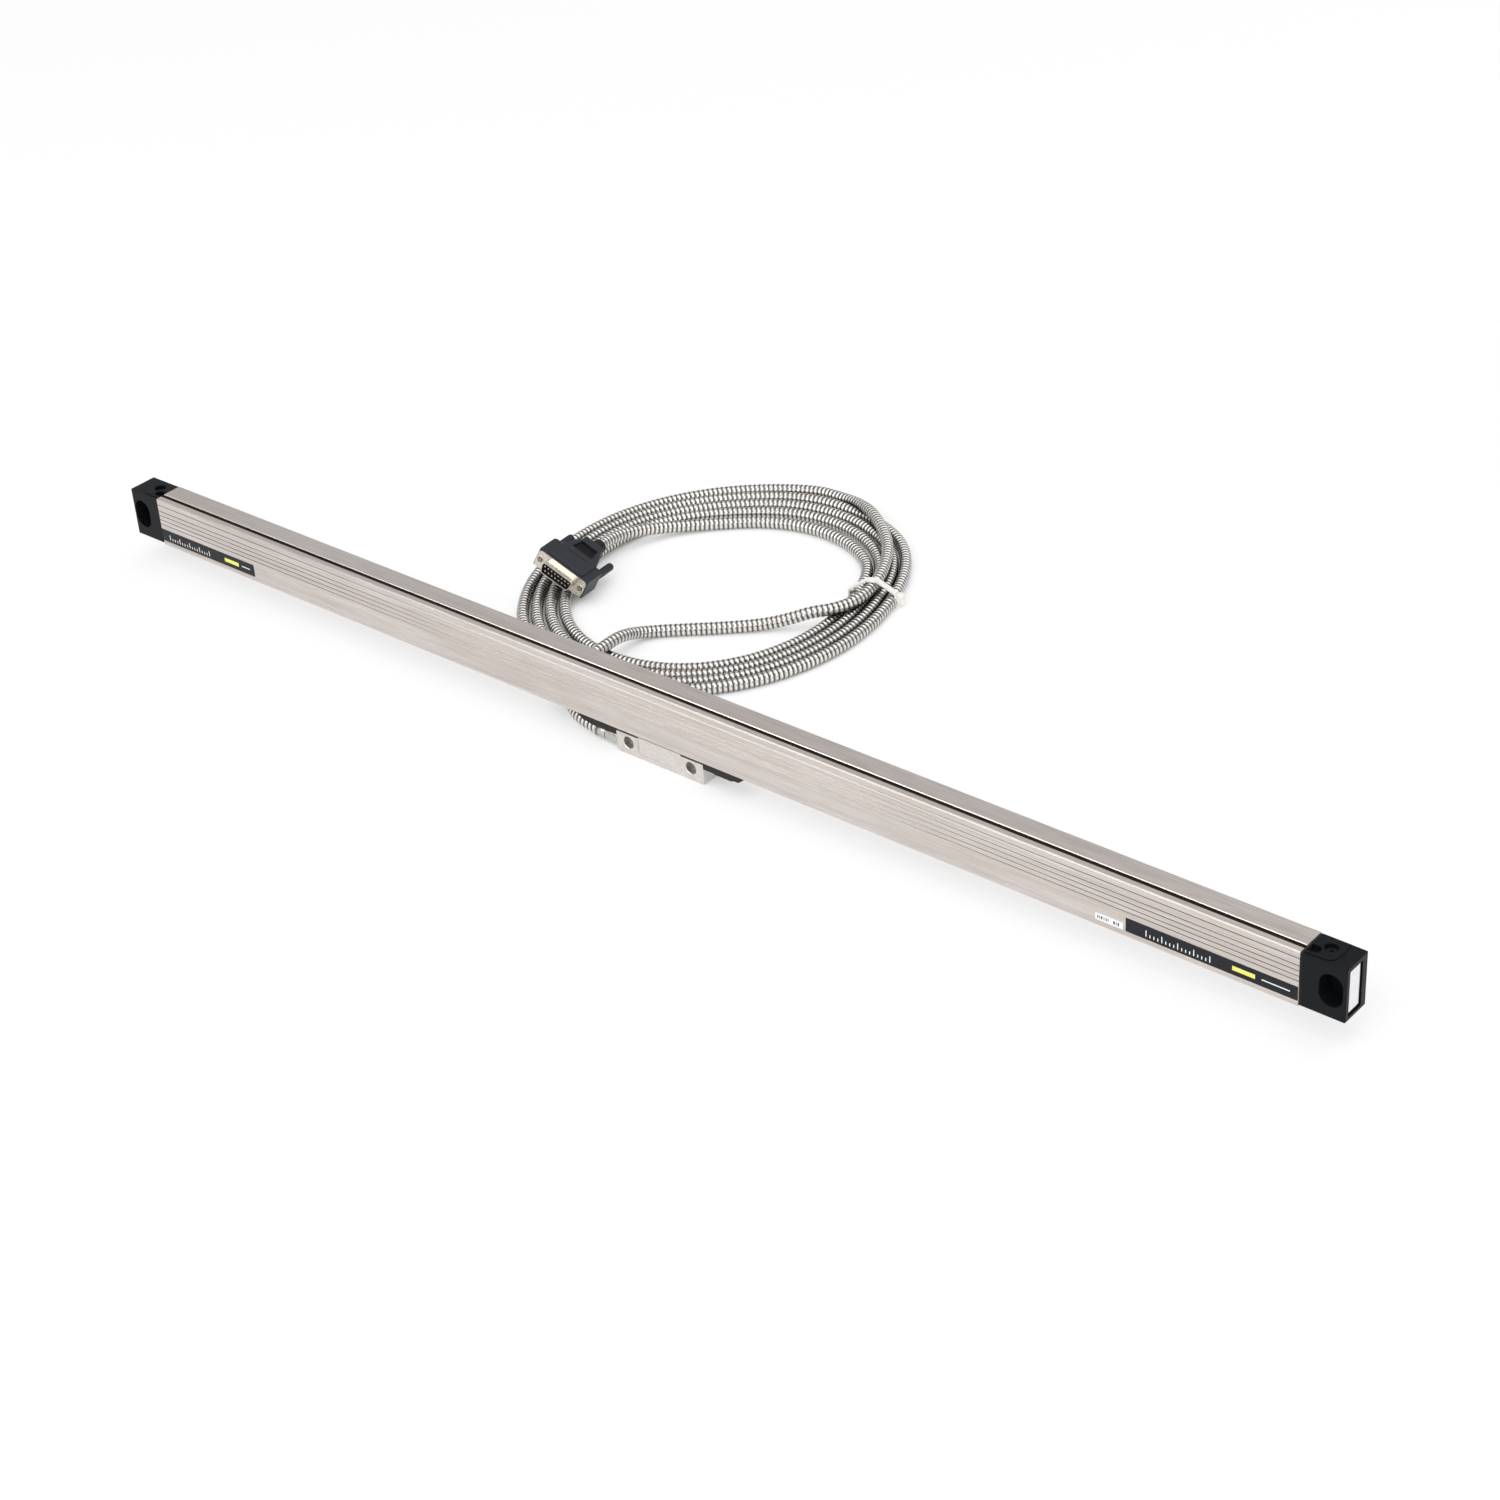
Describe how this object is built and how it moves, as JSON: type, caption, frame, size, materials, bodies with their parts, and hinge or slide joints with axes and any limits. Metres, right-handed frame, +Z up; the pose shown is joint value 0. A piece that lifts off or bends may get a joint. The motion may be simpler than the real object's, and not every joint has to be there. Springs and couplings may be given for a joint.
{
  "type": "linear glass scale",
  "caption": "Enclosed linear glass scale: grooved extrusion with end blocks, a detector head that runs along its slot, and an armoured cable coiled to a multi-pin plug.",
  "frame": {"origin": "ground plane under the middle of the housing, with the detector head standing on it", "axes": "+X along the scale to its right-hand end, +Y to the mounting side, +Z up"},
  "size_m": [0.948, 0.3293, 0.0515],
  "materials": {
    "anodised_profile": "brushed champagne anodise",
    "black_end_metal": "satin bluish black",
    "black_rubber": "matte",
    "screw_steel": "plain steel",
    "port_plug_black": "black oxide",
    "scale_glass": "clear, with a fine graduation",
    "bond_silicone": "translucent elastic bond",
    "head_nickel": "satin nickel",
    "board_green": "solder mask",
    "arm_steel": "ground",
    "wiper_black": "moulded black",
    "carriage_metal": "die cast",
    "lamp_black": "moulded",
    "bearing_steel": "polished",
    "gland_nickel": "nickel plated",
    "conduit_steel": "bright interlocked spiral",
    "tie_nylon": "translucent white nylon",
    "plug_shell_nickel": "nickel plated shell",
    "plug_insulator": "moulded black",
    "pin_gold": "gold plated",
    "hood_black": "satin black",
    "boot_black": "ribbed, matte",
    "jackscrew_black": "satin black"
  },
  "bodies": {
    "scale_housing": {"housing_extrusion": "anodised_profile", "right_end_block": "black_end_metal", "left_end_block": "black_end_metal", "right_end_gasket": "black_rubber", "left_end_gasket": "black_rubber", "end_block_screws": "screw_steel", "port_plugs": "port_plug_black", "glass_scale": "scale_glass", "scale_bond": "bond_silicone", "front_lip_seal": "black_rubber", "rear_lip_seal": "black_rubber"},
    "detector_head": {"cable_gland": "gland_nickel", "cable_tie": "tie_nylon", "carriage_axles": "screw_steel", "carriage_frame": "carriage_metal", "conduit_coil": "conduit_steel", "conduit_lead": "conduit_steel", "conduit_tail": "conduit_steel", "connector_insulator": "plug_insulator", "connector_shell": "plug_shell_nickel", "contact_pins": "pin_gold", "coupling_spring": "screw_steel", "grating_holder": "arm_steel", "head_arm": "arm_steel", "head_block": "head_nickel", "head_cover": "head_nickel", "head_cover_screws": "screw_steel", "index_grating": "scale_glass", "left_wiper": "wiper_black", "light_source": "lamp_black", "lower_hood": "hood_black", "photodiode_board": "board_green", "right_wiper": "wiper_black", "signal_board": "board_green", "strain_relief": "boot_black", "upper_hood": "hood_black"},
    "left_edge_bearing": {"left_edge_roller": "bearing_steel"},
    "right_edge_bearing": {"right_edge_roller": "bearing_steel"},
    "left_face_bearing": {"left_face_roller": "bearing_steel"},
    "right_face_bearing": {"right_face_roller": "bearing_steel"},
    "middle_face_bearing": {"middle_face_roller": "bearing_steel"},
    "left_jackscrew": {"left_thumbscrew": "jackscrew_black"},
    "right_jackscrew": {"right_thumbscrew": "jackscrew_black"}
  },
  "joints": [
    {"name": "head_slide", "type": "slide", "parent": "scale_housing", "child": "detector_head", "axis": [1, 0, 0], "range_m": [-0.408, 0.401]},
    {"name": "left_edge_spin", "type": "hinge", "parent": "detector_head", "child": "left_edge_bearing", "pos_m": [-0.02025, 0.0033, 0.02685], "axis": [0, 1, 0], "range_deg": [-7900, 7900]},
    {"name": "right_edge_spin", "type": "hinge", "parent": "detector_head", "child": "right_edge_bearing", "pos_m": [0.02775, 0.0033, 0.02685], "axis": [0, 1, 0], "range_deg": [-7900, 7900]},
    {"name": "left_face_spin", "type": "hinge", "parent": "detector_head", "child": "left_face_bearing", "pos_m": [-0.02025, -0.00135, 0.0342], "axis": [0, 0, 1], "range_deg": [-7900, 7900]},
    {"name": "right_face_spin", "type": "hinge", "parent": "detector_head", "child": "right_face_bearing", "pos_m": [0.02775, -0.00135, 0.0342], "axis": [0, 0, 1], "range_deg": [-7900, 7900]},
    {"name": "middle_face_spin", "type": "hinge", "parent": "detector_head", "child": "middle_face_bearing", "pos_m": [0.00375, -0.00135, 0.0396], "axis": [0, 0, 1], "range_deg": [-7900, 7900]},
    {"name": "left_thumbscrew_turn", "type": "hinge", "parent": "detector_head", "child": "left_jackscrew", "pos_m": [-0.1997, 0.11216, 0.02769], "axis": [0.2127, -0.9707, 0.1119], "continuous": true},
    {"name": "right_thumbscrew_turn", "type": "hinge", "parent": "detector_head", "child": "right_jackscrew", "pos_m": [-0.17035, 0.11686, 0.01267], "axis": [0.2127, -0.9707, 0.1119], "continuous": true}
  ],
  "couplings": [
    {"joint": "left_edge_spin", "follows": "head_slide", "rad_per_m": -333.33},
    {"joint": "right_edge_spin", "follows": "head_slide", "rad_per_m": -333.33},
    {"joint": "left_face_spin", "follows": "head_slide", "rad_per_m": 333.33},
    {"joint": "right_face_spin", "follows": "head_slide", "rad_per_m": 333.33},
    {"joint": "middle_face_spin", "follows": "head_slide", "rad_per_m": 333.33}
  ]
}
